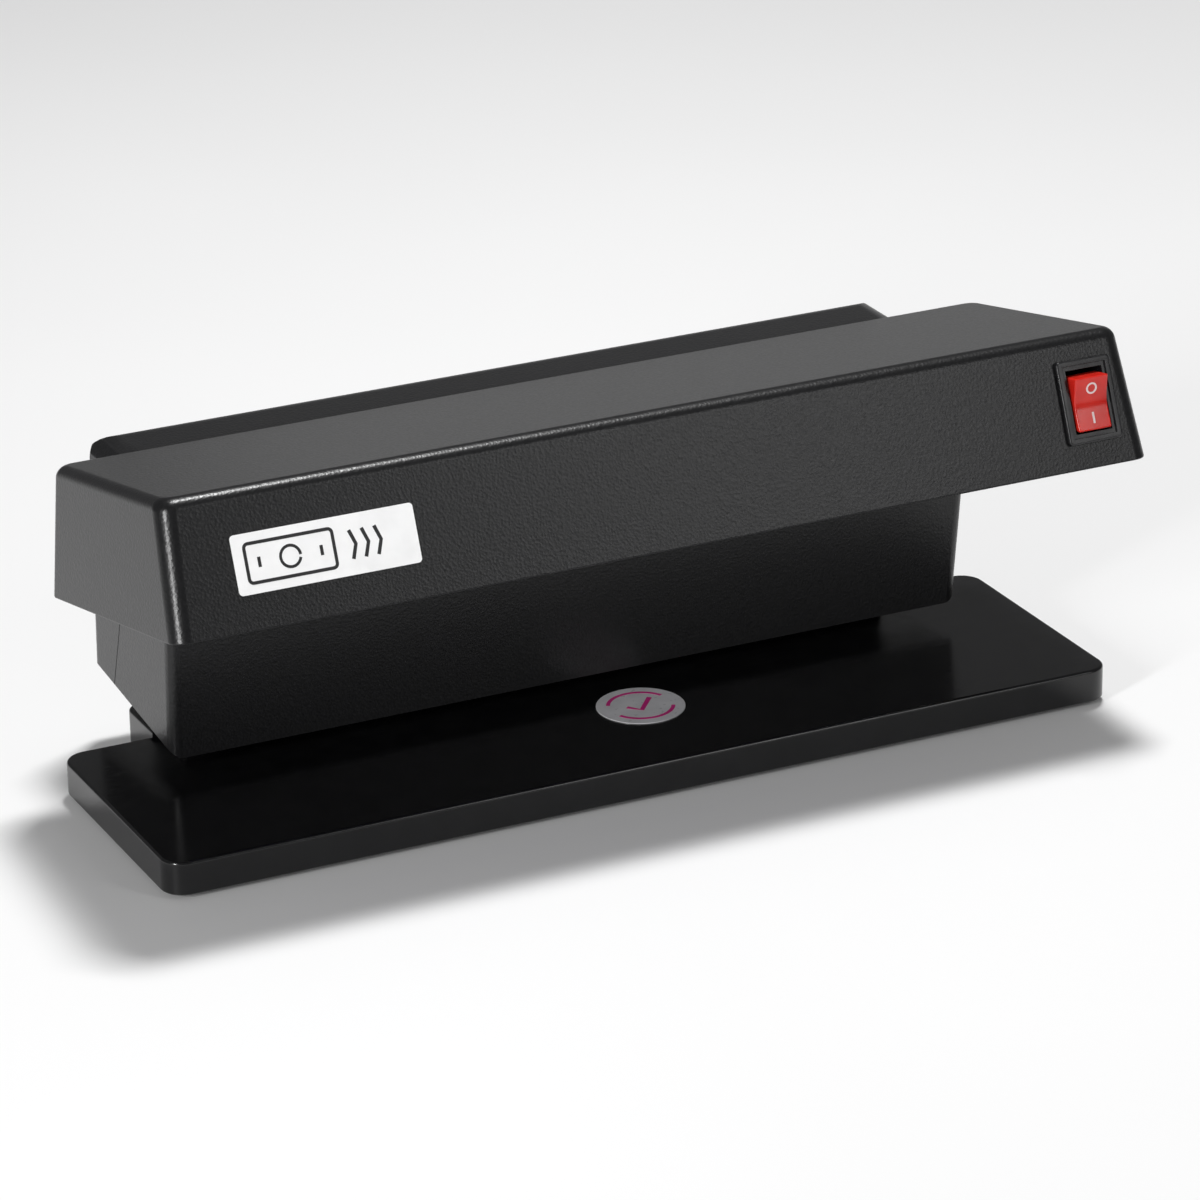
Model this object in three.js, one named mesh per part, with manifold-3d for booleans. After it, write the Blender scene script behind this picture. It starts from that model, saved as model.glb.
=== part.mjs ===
// Ultraviolet banknote checker: base plate, column, tilted lamp shade and everything inside them.
// Millimetres, +Z up, +Y to the rear, X along the object. Heights below count from the base plate's
// underside and depths from near its front edge; toRow() shifts all of it to the row's origin.
import * as THREE from 'three';
import { mergeVertices } from 'three/addons/utils/BufferGeometryUtils.js';
import Module from 'manifold-3d';

const wasm = await Module();
wasm.setup();

// ---- driving dimensions -------------------------------------------------------------------------
const GAP = 0.3;
const FOOT_H = 1.5;

const BASE = { half: 128.8, front: -2.15, rear: 70.6, top: 8.66, corner: 6, wall: 2.5, edge: 0.7 };
const TONGUE = { half: 104.6, rear: 88.8, top: 10.3, corner: 4 };
const RISER = { half: 98, front: 64, rear: 86 };
const COLUMN_SCREW_X = [-84, -28, 28, 84];
const COLUMN_SCREW_Y = 75;

const COL = {
  half: 109.25, flare: 0.02, front: 44.7, lean: 0.108, rear: 97.7, rearLean: 0.1,
  top: 83.4, wall: 2.2, corner: 6.2, round: 8.8,
};
const COL_BOTTOM = { z: 13.7, y: 44.7, slope: 0.104 };
const COL_LEAN = Math.atan(COL.lean);
const SEAM = { yLow: 82.3, zLow: 18, yHigh: 69.4, zHigh: 52 };
const REAR_SCREWS = [
  { x: -98, z: 27, post: 77.3, head: 84 },
  { x: 98, z: 27, post: 77.3, head: 84 },
  { x: -98, z: 69, post: 65.3, head: 76 },
  { x: 98, z: 69, post: 65.3, head: 76 },
];

const SHADE = { tilt: 12 * Math.PI / 180, y0: -16.51, z0: 70.2, length: 260, depth: 86.5, high: 33 };
const SHADE_TOP = { front: 6.3, rear: 7.0, end: 2.35 };
const SHADE_WALL = 2.2;

const TUBE = { shift: -8, length: 212, r: 8, cap: 9, pinR: 1.17, pinGap: 4.75, pinLong: 7.1, w: 14 };
const TUBE_V = [18, 38];
const HOLDER = { thick: 8.6, wide: 16, low: 5.4, high: 27 };
const TRAY = { v0: 8.4, v1: 46, w: 27.4, thick: 0.9, half: 105, flange: 5 };

const SWITCH = { x: 115.1, along: 16.9, wide: 15, long: 21, lip: 1.5, bodyW: 12.6, bodyL: 19, deep: 14 };
const ROCKER = { half: 4.65, reach: 6.7, crest: 3.4, dip: 1.9, pivot: -1.4, swing: 12 * Math.PI / 180 };
const LABEL = { x: -89.2, along: 15.7, wide: 46, high: 14.2, thick: 0.25 };
const STICKER = { x: 11.5, y: 31, r: 11.25, thick: 0.2 };

const GLAND = { x: -72, z: 30, bore: 3.6, neck: 5.5, flange: 7.9, tip: 4.9, out: 4.6 };
const BALLAST = { x: 46, z: 44 };
const STARTER = { xs: [-62, -32], z: 42, r: 10.6, long: 36 };
const BLOCK = { x: -2, z: 38 };
const LEAD_R = 0.8;

const FRONT_Y = SHADE.y0;
const REAR_TURN = Math.atan(COL.rearLean);
const REAR_Y = COL.rear + GLAND.out * Math.cos(REAR_TURN) + GLAND.tip * Math.sin(REAR_TURN);
const ROW_SHIFT = new THREE.Matrix4().makeTranslation(0, -(FRONT_Y + REAR_Y) / 2, FOOT_H);

// ---- materials ----------------------------------------------------------------------------------
function material(hex, roughness, metalness) {
  return new THREE.MeshStandardMaterial({ color: hex, roughness, metalness });
}

const MAT = {
  shell: material(0x161618, 0.42, 0),
  base: material(0x101012, 0.25, 0),
  rubber: material(0x1c1c1c, 0.9, 0),
  steel: material(0x9a9da0, 0.35, 1),
  zinc: material(0xb4b6b2, 0.4, 1),
  aluminium: material(0xd2d5d8, 0.25, 1),
  glass: material(0x241446, 0.12, 0),
  white: material(0xe6e3da, 0.5, 0),
  brass: material(0xc9a24a, 0.35, 1),
  switchBlack: material(0x0d0d0e, 0.35, 0),
  rocker: material(0xb3150f, 0.2, 0),
  copper: material(0x9c4a20, 0.4, 0.6),
  label: material(0xe8e8e4, 0.4, 0),
  sticker: material(0xc4c6ca, 0.3, 0.4),
  leadBrown: material(0x5a3318, 0.45, 0),
  leadBlue: material(0x1f4f9a, 0.45, 0),
};

// ---- shape helpers ------------------------------------------------------------------------------
function solid(geometry) {
  const bare = geometry.clone();
  bare.deleteAttribute('normal');
  bare.deleteAttribute('uv');
  const merged = mergeVertices(bare, 1e-4);
  const kept = [];
  const index = merged.index.array;
  for (let i = 0; i < index.length; i += 3) {
    const [a, b, c] = [index[i], index[i + 1], index[i + 2]];
    if (a !== b && b !== c && c !== a) {
      kept.push(a, b, c);
    }
  }
  return new wasm.Manifold(new wasm.Mesh({
    numProp: 3,
    vertProperties: new Float32Array(merged.attributes.position.array),
    triVerts: new Uint32Array(kept),
  }));
}

function place(shape, matrix) {
  return shape.transform(matrix.elements);
}

function box(x0, x1, y0, y1, z0, z1) {
  const geometry = new THREE.BoxGeometry(x1 - x0, y1 - y0, z1 - z0);
  geometry.translate((x0 + x1) / 2, (y0 + y1) / 2, (z0 + z1) / 2);
  return solid(geometry);
}

function extrude(points, from, to) {
  const outline = new THREE.Shape(points.map(([a, b]) => new THREE.Vector2(a, b)));
  const geometry = new THREE.ExtrudeGeometry(outline, { depth: to - from, bevelEnabled: false });
  geometry.translate(0, 0, from);
  return solid(geometry);
}

// A (y, z) outline stretched along X.
function alongX(points, from, to) {
  const turn = new THREE.Matrix4().makeBasis(
    new THREE.Vector3(0, 1, 0), new THREE.Vector3(0, 0, 1), new THREE.Vector3(1, 0, 0));
  return place(extrude(points, from, to), turn);
}

// A turned profile of (radius, height) points about local Z.
function lathe(points, sides = 16) {
  const profile = points.map(([r, h]) => new THREE.Vector2(r, h));
  const geometry = new THREE.LatheGeometry(profile, sides);
  geometry.rotateX(Math.PI / 2);
  let shape = solid(geometry);
  if (shape.volume() < 0) {
    geometry.index.array.reverse();
    shape = solid(geometry);
  }
  return shape;
}

function rod(r, from, to, sides = 16) {
  return lathe([[0, from], [r, from], [r, to], [0, to]], sides);
}

function ring(inner, outer, from, to, sides = 20) {
  return lathe([[inner, from], [outer, from], [outer, to], [inner, to], [inner, from]], sides);
}

const Z_TO_Y = new THREE.Matrix4().makeRotationX(-Math.PI / 2);
const Z_TO_X = new THREE.Matrix4().makeRotationY(Math.PI / 2);

function at(x, y, z, turn = null) {
  const matrix = new THREE.Matrix4().makeTranslation(x, y, z);
  return turn ? matrix.multiply(turn) : matrix;
}

// A rectangle with rounded corners; the two at y1 may have a radius of their own.
function roundedRect(x0, x1, y0, y1, r, steps = 3, far = r) {
  const points = [];
  const corners = [
    [x1 - r, y0 + r, -90, r], [x1 - far, y1 - far, 0, far],
    [x0 + far, y1 - far, 90, far], [x0 + r, y0 + r, 180, r],
  ];
  for (const [cx, cy, start, radius] of corners) {
    for (let i = 0; i <= steps; i += 1) {
      const angle = (start + 90 * i / steps) * Math.PI / 180;
      points.push([cx + radius * Math.cos(angle), cy + radius * Math.sin(angle)]);
    }
  }
  return points;
}

// Joins equal, convex rings of Vector3 from first to last; the first ring is counter-clockwise
// when seen against the stacking direction.
function loft(rings) {
  const count = rings[0].length;
  const positions = [];
  const push = (...corners) => corners.forEach((p) => positions.push(p.x, p.y, p.z));
  for (let k = 0; k + 1 < rings.length; k += 1) {
    for (let i = 0; i < count; i += 1) {
      const j = (i + 1) % count;
      push(rings[k][i], rings[k][j], rings[k + 1][j]);
      push(rings[k][i], rings[k + 1][j], rings[k + 1][i]);
    }
  }
  const last = rings[rings.length - 1];
  for (let i = 1; i + 1 < count; i += 1) {
    push(rings[0][0], rings[0][i + 1], rings[0][i]);
    push(last[0], last[i], last[i + 1]);
  }
  const geometry = new THREE.BufferGeometry();
  geometry.setAttribute('position', new THREE.Float32BufferAttribute(positions, 3));
  return solid(geometry);
}

function levels(list) {
  return loft(list.map(({ z, outline }) => outline.map(([x, y]) => new THREE.Vector3(x, y, z))));
}

function union(...shapes) {
  return shapes.reduce((all, next) => all.add(next));
}

// ---- assembly group -----------------------------------------------------------------------------
const assembly = new THREE.Group();
assembly.name = 'uv_banknote_checker';

function addPiece(name, shape, mat) {
  const mesh = place(shape, ROW_SHIFT).getMesh();
  const geometry = new THREE.BufferGeometry();
  geometry.setAttribute('position', new THREE.BufferAttribute(new Float32Array(mesh.vertProperties), 3));
  geometry.setIndex(new THREE.BufferAttribute(new Uint32Array(mesh.triVerts), 1));
  geometry.computeVertexNormals();
  const piece = new THREE.Mesh(geometry, mat);
  piece.name = name;
  assembly.add(piece);
}

// ---- local frames -------------------------------------------------------------------------------
const SHADE_FRAME = at(0, SHADE.y0, SHADE.z0, new THREE.Matrix4().makeRotationX(-SHADE.tilt));
const FACE_LEAN = Math.atan2(SHADE_TOP.front, SHADE.high);

// Local axes of the shade's front face: X, up the slope, outward. Origin at the lower edge.
const FACE_FRAME = SHADE_FRAME.clone().multiply(
  new THREE.Matrix4().makeRotationX(Math.PI / 2 - FACE_LEAN));
const SWITCH_FRAME = FACE_FRAME.clone().multiply(at(SWITCH.x, SWITCH.along, 0));
const GLAND_TURN = new THREE.Matrix4().makeRotationX(REAR_TURN).multiply(Z_TO_Y);
const GLAND_FRAME = at(GLAND.x, COL.rear, GLAND.z, GLAND_TURN);

function columnFront(z) {
  return COL.front - COL.lean * (z - BASE.top);
}

// Local axes on the inner side of the column's front wall: +Y points into the column.
function wallFrame(x, z) {
  const y = columnFront(z) + COL.wall + GAP;
  return at(x, y, z, new THREE.Matrix4().makeRotationX(COL_LEAN));
}

function columnBottom(y) {
  return COL_BOTTOM.z + COL_BOTTOM.slope * (y - COL_BOTTOM.y);
}

// ---- screws -------------------------------------------------------------------------------------
// Pan-head screw along local +Z, head below zero.
function panScrew(r, long, headR, headH) {
  const rim = headH * 0.35;
  const profile = [[0, -headH], [headR * 0.6, -headH], [headR, -headH + rim], [headR, 0], [r, 0]];
  profile.push([r, long], [0, long]);
  return lathe(profile, 12);
}

function flatScrew(r, long, headR) {
  return lathe([[0, 0], [headR, 0], [r, headR - r], [r, long], [0, long]], 12);
}

// ---- base ---------------------------------------------------------------------------------------
function baseBlock() {
  const { half, front, rear, top, corner, edge } = BASE;
  return levels([
    { z: 0, outline: roundedRect(-half, half, front, rear, corner, 5) },
    { z: top - edge, outline: roundedRect(-half, half, front, rear, corner, 5) },
    { z: top, outline: roundedRect(-half + edge, half - edge, front + edge, rear - edge, corner - edge, 5) },
  ]);
}

function tongueBlock(inset, z0, z1) {
  const half = TONGUE.half - inset;
  const rear = TONGUE.rear - inset;
  return extrude(roundedRect(-half, half, 50, rear, TONGUE.corner - inset * 0.8), z0, z1);
}

function riserBlock(inset, z0, drop) {
  const { half, front, rear } = RISER;
  const y0 = front + inset;
  const y1 = rear - inset;
  const profile = [[y0, z0], [y1, z0], [y1, columnBottom(y1) - drop], [y0, columnBottom(y0) - drop]];
  return alongX(profile, -half + inset, half - inset);
}

const BASE_SCREWS = [[-116, 12], [116, 12], [-116, 58], [116, 58]];
const CAVITY_TOP = 6.2;

function bottomOutline(inset) {
  const x = BASE.half - BASE.wall - inset;
  const xt = TONGUE.half - BASE.wall - inset;
  const y0 = BASE.front + BASE.wall + inset;
  const y1 = BASE.rear - BASE.wall - inset;
  const y2 = TONGUE.rear - BASE.wall - inset;
  return [[-x, y0], [x, y0], [x, y1], [xt, y1], [xt, y2], [-xt, y2], [-xt, y1], [-x, y1]];
}

function buildBase() {
  const covered = box(-200, 200, 0, BASE.rear - 0.9, BASE.top - 3, 20);
  const tongueTop = tongueBlock(0, 0, TONGUE.top).subtract(covered);
  let base = union(baseBlock(), tongueTop, riserBlock(0, 5, GAP));
  base = base.subtract(extrude(bottomOutline(0), -1, CAVITY_TOP));
  base = base.subtract(riserBlock(2.5, 2, GAP + 3));
  for (const [x, y] of BASE_SCREWS) {
    const boss = ring(1.7, 4, 2.1, CAVITY_TOP + 0.5, 14);
    base = base.add(place(boss, at(x, y, 0)));
    base = base.subtract(place(rod(1.7, 2, CAVITY_TOP - 0.2, 14), at(x, y, 0)));
  }
  for (const x of COLUMN_SCREW_X) {
    base = base.subtract(place(rod(1.8, 8, 30, 12), at(x, COLUMN_SCREW_Y, 0)));
  }
  addPiece('base_plate', base, MAT.base);
}

function buildBottom() {
  let plate = extrude(bottomOutline(GAP), 0.2, 1.8);
  BASE_SCREWS.forEach(([x, y], i) => {
    const hole = lathe([[0, -1], [3.3, -1], [3.3, 0.45], [1.85, 1.9], [1.85, 3], [0, 3]], 14);
    plate = plate.subtract(place(hole, at(x, y, 0)));
    addPiece(`base_screw_${i + 1}`, place(flatScrew(1.4, 5.4, 2.9), at(x, y, 0.25)), MAT.zinc);
  });
  addPiece('bottom_plate', plate, MAT.base);
  const feet = [[-112, 28], [112, 28], [-92, 78], [92, 78]];
  feet.forEach(([x, y], i) => {
    const foot = lathe([[0, -FOOT_H], [5.6, -FOOT_H], [6.2, -0.9], [6.2, 0.15], [0, 0.15]], 20);
    addPiece(`foot_${i + 1}`, place(foot, at(x, y, 0)), MAT.rubber);
  });
}

// ---- column -------------------------------------------------------------------------------------
function columnRear(z) {
  return COL.rear - COL.rearLean * (z - GLAND.z);
}

function columnPlan(z, inset) {
  const half = COL.half + COL.flare * (z - BASE.top) - inset;
  const front = columnFront(z) + inset;
  const rear = columnRear(z) - inset;
  return roundedRect(-half, half, front, rear, Math.max(3.1 - inset, 0.9), 4, COL.corner - inset);
}

function columnFloor(inset) {
  const half = COL.half + 1.2 - inset;
  const outline = roundedRect(-half, half, COL_BOTTOM.z + inset, 130, 5 - inset, 4);
  const rise = (y) => COL_BOTTOM.slope * (y - COL_BOTTOM.y);
  const ringAt = (y) => outline.map(([x, z]) => new THREE.Vector3(x, y, z + rise(y)));
  return loft([ringAt(120), ringAt(20)]);
}

function columnTop(inset) {
  const r = COL.round - inset;
  const y = columnRear(COL.top - COL.round) - inset;
  const z = COL.top - inset;
  const points = [[0, 0], [130, 0], [130, z - r], [y, z - r]];
  for (let i = 1; i <= 4; i += 1) {
    const angle = i * Math.PI / 8;
    points.push([y - r + r * Math.cos(angle), z - r + r * Math.sin(angle)]);
  }
  const raise = inset > 0 ? 20 : -5;
  points.push([66.5, z], [66.5, shadeRoof(66.5) + raise], [0, shadeRoof(0) + raise]);
  return alongX(points, -140, 140);
}

function shadeRoof(y) {
  const outside = SHADE.z0 + SHADE.high / Math.cos(SHADE.tilt) - Math.tan(SHADE.tilt) * (y - SHADE.y0);
  return outside - SHADE_WALL - 0.1;
}

// The rear cover's top also rounds over its two ends.
function rearCrown(inset) {
  const half = COL.half + COL.flare * (COL.top - BASE.top - COL.round) - inset;
  const outline = roundedRect(-half, half, -30, COL.top - inset, 1, 4, COL.round - inset);
  const ringAt = (y) => outline.map(([x, z]) => new THREE.Vector3(x, y, z));
  return loft([ringAt(130), ringAt(40)]);
}

function columnSolid(inset) {
  const body = levels([
    { z: 8, outline: columnPlan(8, inset) },
    { z: 110, outline: columnPlan(110, inset) },
  ]);
  return body.intersect(columnFloor(inset)).intersect(columnTop(inset));
}

function seamY(z) {
  const slope = (SEAM.yHigh - SEAM.yLow) / (SEAM.zHigh - SEAM.zLow);
  return SEAM.yLow + slope * (z - SEAM.zLow);
}

function frontRegion() {
  const g = GAP / 2;
  const zTop = SEAM.zHigh - 0.1;
  const points = [[0, 0], [seamY(0) - g, 0], [seamY(zTop) - g, zTop], [65.5, zTop], [65.5, 150], [0, 150]];
  return alongX(points, -140, 140);
}

function rearRegion() {
  const g = GAP / 2;
  const points = [
    [seamY(0) + g, 0], [140, 0], [140, 150], [68.6, 150],
    [68.6, SEAM.zHigh], [seamY(SEAM.zHigh) + g, SEAM.zHigh],
  ];
  return alongX(points, -140, 140);
}

function rearPost(r, x, z, from, to) {
  return place(rod(r, from, to, 14), at(x, 0, z, Z_TO_Y));
}

function buildColumn() {
  const shell = columnSolid(0).subtract(columnSolid(COL.wall));
  let front = shell.intersect(frontRegion());
  for (const s of REAR_SCREWS) {
    const post = rearPost(4.2, s.x, s.z, 36, s.post).intersect(columnSolid(0.5));
    front = front.add(post);
    front = front.subtract(rearPost(1.7, s.x, s.z, 50, 100));
  }
  for (const x of COLUMN_SCREW_X) {
    const low = columnBottom(COLUMN_SCREW_Y);
    const boss = place(rod(4, low + 1, low + 9, 14), at(x, COLUMN_SCREW_Y, 0));
    front = front.add(boss.intersect(frontRegion()));
    front = front.subtract(place(rod(1.7, 5, low + 8, 12), at(x, COLUMN_SCREW_Y, 0)));
    addPiece(`column_screw_${COLUMN_SCREW_X.indexOf(x) + 1}`,
      place(panScrew(1.4, 9.5, 2.9, 1.9), at(x, COLUMN_SCREW_Y, low - 3.9)), MAT.zinc);
  }
  for (const s of [[BALLAST.x - 31, BALLAST.z], [BALLAST.x + 31, BALLAST.z]]) {
    front = front.subtract(place(rod(1.4, -1.9, 2, 10), wallFrame(...s).multiply(Z_TO_Y)));
  }
  addPiece('column_housing', front, MAT.shell);
}

function buildRearCover() {
  const hollow = columnSolid(COL.wall).intersect(rearCrown(COL.wall));
  let cover = columnSolid(0).intersect(rearCrown(0)).subtract(hollow).intersect(rearRegion());
  const inside = columnSolid(0.6).intersect(rearCrown(0.6)).intersect(rearRegion());
  REAR_SCREWS.forEach((s, i) => {
    const start = s.z < 50 ? s.post + 0.5 : 68.7;
    cover = cover.add(rearPost(5.2, s.x, s.z, start, 96.5).intersect(inside));
    cover = cover.subtract(rearPost(1.8, s.x, s.z, 40, 110));
    cover = cover.subtract(rearPost(3.5, s.x, s.z, s.head, 110));
    const screw = place(panScrew(1.4, s.z < 50 ? 16 : 19, 2.9, 2), at(s.x, s.head + 0.2, s.z, Z_TO_Y));
    const turned = screw.mirror([0, 1, 0]).translate([0, 2 * (s.head + 0.2), 0]);
    addPiece(`rear_screw_${i + 1}`, turned, MAT.zinc);
  });
  for (const x of [-40, -32, -24, -16, 16, 24, 32, 40]) {
    cover = cover.subtract(box(x - 1.4, x + 1.4, 90, 110, 50, 70));
  }
  cover = cover.subtract(place(rod(GLAND.neck + 0.4, -9, 9, 24), GLAND_FRAME));
  addPiece('rear_cover', cover, MAT.shell);
}

// ---- lamp shade ---------------------------------------------------------------------------------
function shadeRing(w, inset, extra, r) {
  const k = w / SHADE.high;
  const half = SHADE.length / 2 - SHADE_TOP.end * k - inset - extra;
  const v0 = SHADE_TOP.front * k + inset + extra;
  const v1 = SHADE.depth - SHADE_TOP.rear * k - inset - extra;
  return roundedRect(-half, half, v0, v1, r, 4);
}

function shadeSolid(inset) {
  const top = SHADE.high - inset;
  const low = inset > 0 ? -4 : 0;
  const r = 4.5 - inset;
  const list = [
    { z: low, outline: shadeRing(low, inset, 0, r) },
    { z: top - 3, outline: shadeRing(top - 3, inset, 0, r) },
    { z: top - 1.2, outline: shadeRing(top - 1.2, inset, 0.7, r * 0.85) },
    { z: top, outline: shadeRing(top, inset, 2.4, r * 0.6) },
  ];
  return place(levels(list), SHADE_FRAME);
}

const TRAY_SCREWS = [-86, 70];
const LEAD_HOLES = [[-118.6, 18], [-118.6, 38], [102.6, 18], [102.6, 38]];

function buildShade() {
  let shade = shadeSolid(0);
  const posts = TRAY_SCREWS.map((x) => place(rod(3.6, TRAY.w + TRAY.thick + GAP, 32, 14),
    SHADE_FRAME.clone().multiply(at(x, 28, 0))));
  shade = shade.subtract(shadeSolid(SHADE_WALL));
  posts.forEach((post) => {
    shade = shade.add(post);
  });
  TRAY_SCREWS.forEach((x) => {
    const hole = place(rod(1.3, 20, 31.6, 12), SHADE_FRAME.clone().multiply(at(x, 28, 0)));
    shade = shade.subtract(hole);
  });
  const { wide, long } = { wide: SWITCH.bodyW / 2 + GAP, long: SWITCH.bodyL / 2 + GAP };
  shade = shade.subtract(place(box(-wide, wide, -long, long, -9, 5), SWITCH_FRAME));
  shade = shade.subtract(box(-90, 90, 60, 72, 40, 77));
  for (const s of REAR_SCREWS.filter((screw) => screw.z > 50)) {
    shade = shade.subtract(rearPost(1.9, s.x, s.z, 60, 72));
  }
  addPiece('lamp_shade', shade, MAT.shell);
}

function buildTray() {
  const { v0, v1, w, thick, half, flange } = TRAY;
  const profile = [[v0, w - flange], [v0 + thick, w - flange], [v0 + thick, w], [v1, w]];
  profile.push([v1, w + thick], [v0, w + thick]);
  let tray = alongX(profile, TUBE.shift - half - 11, TUBE.shift + half + 9);
  TRAY_SCREWS.forEach((x, i) => {
    tray = tray.subtract(place(rod(1.6, 20, 32, 12), at(x, 28, 0)));
    const screw = place(panScrew(1, 3.5, 2.4, 1.5), at(x, 28, w - 0.2));
    addPiece(`tray_screw_${i + 1}`, place(screw, SHADE_FRAME), MAT.zinc);
  });
  for (const [x, v] of LEAD_HOLES) {
    tray = tray.subtract(place(rod(2.6, 20, 32, 12), at(x, v, 0)));
  }
  addPiece('lamp_tray', place(tray, SHADE_FRAME), MAT.aluminium);
}

// ---- tubes and their holders --------------------------------------------------------------------
function tubeFrame(v) {
  return SHADE_FRAME.clone().multiply(at(TUBE.shift, v, TUBE.w));
}

function buildTube(v, letter) {
  const frame = tubeFrame(v);
  const reach = TUBE.length / 2;
  const glass = rod(TUBE.r - 0.25, -reach + TUBE.cap + 0.2, reach - TUBE.cap - 0.2, 24);
  addPiece(`uv_tube_${letter}`, place(place(glass, Z_TO_X), frame), MAT.glass);
  for (const side of [-1, 1]) {
    const { r, cap: long } = TUBE;
    let cap = lathe([[0, 0], [r, 0], [r, long - 0.8], [r - 0.8, long], [0, long]], 24);
    for (const y of [-TUBE.pinGap / 2, TUBE.pinGap / 2]) {
      cap = cap.add(place(rod(TUBE.pinR, TUBE.cap - 0.5, TUBE.cap + TUBE.pinLong, 10), at(0, y, 0)));
    }
    const turn = side > 0 ? Z_TO_X : new THREE.Matrix4().makeRotationY(-Math.PI / 2);
    const end = place(cap, at(side * (reach - TUBE.cap), 0, 0, turn));
    addPiece(`tube_cap_${letter}_${side < 0 ? 'left' : 'right'}`, place(end, frame), MAT.aluminium);
    buildHolder(frame, letter, side);
  }
}

function buildHolder(frame, letter, side) {
  const { thick, wide, low, high } = HOLDER;
  const x0 = TUBE.length / 2 + GAP;
  const h = wide / 2;
  const top = high - TUBE.w;
  const bottom = low - TUBE.w;
  const chamfer = bottom + 2.5;
  const outline = [[-h + 2.5, bottom], [h - 2.5, bottom], [h, chamfer], [h, top], [-h, top], [-h, chamfer]];
  let holder = alongX(outline, x0, x0 + thick);
  holder = holder.subtract(place(rod(4, x0 - 1, x0 + 7.6, 18), Z_TO_X));
  holder = holder.subtract(box(x0 - 1, x0 + 7.6, -1.6, 1.6, bottom - 1, 0));
  if (side < 0) {
    holder = holder.mirror([1, 0, 0]);
  }
  const name = `lamp_holder_${letter}_${side < 0 ? 'left' : 'right'}`;
  addPiece(name, place(holder, frame), MAT.white);
}

// ---- switch -------------------------------------------------------------------------------------
function buildSwitch() {
  const { wide, long, lip, bodyW, bodyL, deep } = SWITCH;
  const bezel = levels([
    { z: 0.1, outline: roundedRect(-wide / 2, wide / 2, -long / 2, long / 2, 0.8, 2) },
    { z: lip - 0.6, outline: roundedRect(-wide / 2, wide / 2, -long / 2, long / 2, 0.8, 2) },
    {
      z: lip,
      outline: roundedRect(-wide / 2 + 0.6, wide / 2 - 0.6, -long / 2 + 0.6, long / 2 - 0.6, 0.5, 2),
    },
  ]);
  let body = bezel.add(box(-bodyW / 2, bodyW / 2, -bodyL / 2, bodyL / 2, -deep, 0.2));
  body = body.subtract(box(-5.1, 5.1, -7.9, 7.9, -deep + 2, 5));
  body = body.subtract(place(rod(1.35, -8, 8, 12), at(0, 0, ROCKER.pivot, Z_TO_X)));
  for (const t of [0, -6.5]) {
    body = body.subtract(box(-2.7, 2.7, t - 0.7, t + 0.7, -deep - 1, -deep + 3));
  }
  addPiece('switch_body', place(body, SWITCH_FRAME), MAT.switchBlack);
  buildRocker();
  buildContacts();
}

function buildRocker() {
  const { half, reach, crest, dip, pivot, swing } = ROCKER;
  const profile = [
    [-reach, crest], [-reach, -3], [-3, -4.2], [-0.8, -6],
    [0.8, -6], [3, -4.2], [reach, -3], [reach, crest],
  ];
  profile.push([reach - 0.6, crest + 0.15], [0.8, dip], [-0.8, dip], [-reach + 0.6, crest + 0.15]);
  let rocker = alongX(profile, -half, half);
  rocker = rocker.add(place(rod(1.1, -5.95, 5.95, 12), at(0, 0, pivot, Z_TO_X)));
  const turn = at(0, 0, pivot, new THREE.Matrix4().makeRotationX(swing)).multiply(at(0, 0, -pivot));
  addPiece('switch_rocker', place(place(rocker, turn), SWITCH_FRAME), MAT.rocker);
}

function buildContacts() {
  const pivot = -8.8;
  const tilt = new THREE.Matrix4().makeRotationX(-8 * Math.PI / 180);
  const blade = alongX([[-5.5, -0.3], [5.5, -0.3], [5.5, 0.3], [1, 0.3], [-1, 0.3], [-5.5, 0.3]], -2, 2);
  addPiece('switch_blade', place(place(blade, at(0, 0, pivot, tilt)), SWITCH_FRAME), MAT.copper);
  const common = box(-2.4, 2.4, -0.4, 0.4, -20, -9.5);
  const live = union(box(-2.4, 2.4, -6.9, -6.1, -20, -10.6), box(-2.4, 2.4, -6.9, -4.6, -11.2, -10.6));
  addPiece('switch_terminal_common', place(common, SWITCH_FRAME), MAT.brass);
  addPiece('switch_terminal_live', place(live, SWITCH_FRAME), MAT.brass);
}

// ---- electrics inside the column ----------------------------------------------------------------
function ballastFrame() {
  return wallFrame(BALLAST.x, BALLAST.z).multiply(at(0, 15, 0));
}

function buildBallast() {
  const frame = ballastFrame();
  let core = box(-25, 25, -9, 9, -17, 17);
  core = core.subtract(box(7, 15.4, -20, 20, -12, 12)).subtract(box(-15.4, -7, -20, 20, -12, 12));
  addPiece('ballast_core', place(core, frame), MAT.steel);
  const coil = box(-15.1, 15.1, -14, 14, -11.7, 11.7).subtract(box(-7.3, 7.3, -9.3, 9.3, -20, 20));
  addPiece('ballast_winding', place(coil, frame), MAT.copper);
  const half = [
    [16.4, 14.4], [16.4, 9.3], [25.3, 9.3], [25.3, -14.8], [36, -14.8],
    [36, -13.8], [26.3, -13.8], [26.3, 10.3], [17.4, 10.3], [17.4, 15.4],
  ];
  const mirrored = half.map(([x, y]) => [-x, y]).reverse();
  let strap = extrude([...half, ...mirrored], -8, 8);
  const screws = [-31, 31];
  screws.forEach((x) => {
    strap = strap.subtract(place(rod(1.9, -20, -10, 12), at(x, 0, 0, Z_TO_Y)));
  });
  addPiece('ballast_bracket', place(strap, frame), MAT.zinc);
  screws.forEach((x, i) => {
    const turn = new THREE.Matrix4().makeRotationX(Math.PI / 2);
    const screw = place(panScrew(1.1, 3.3, 2.6, 1.6), at(x, -13.6, 0, turn));
    addPiece(`ballast_screw_${i + 1}`, place(screw, frame), MAT.zinc);
  });
}

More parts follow.
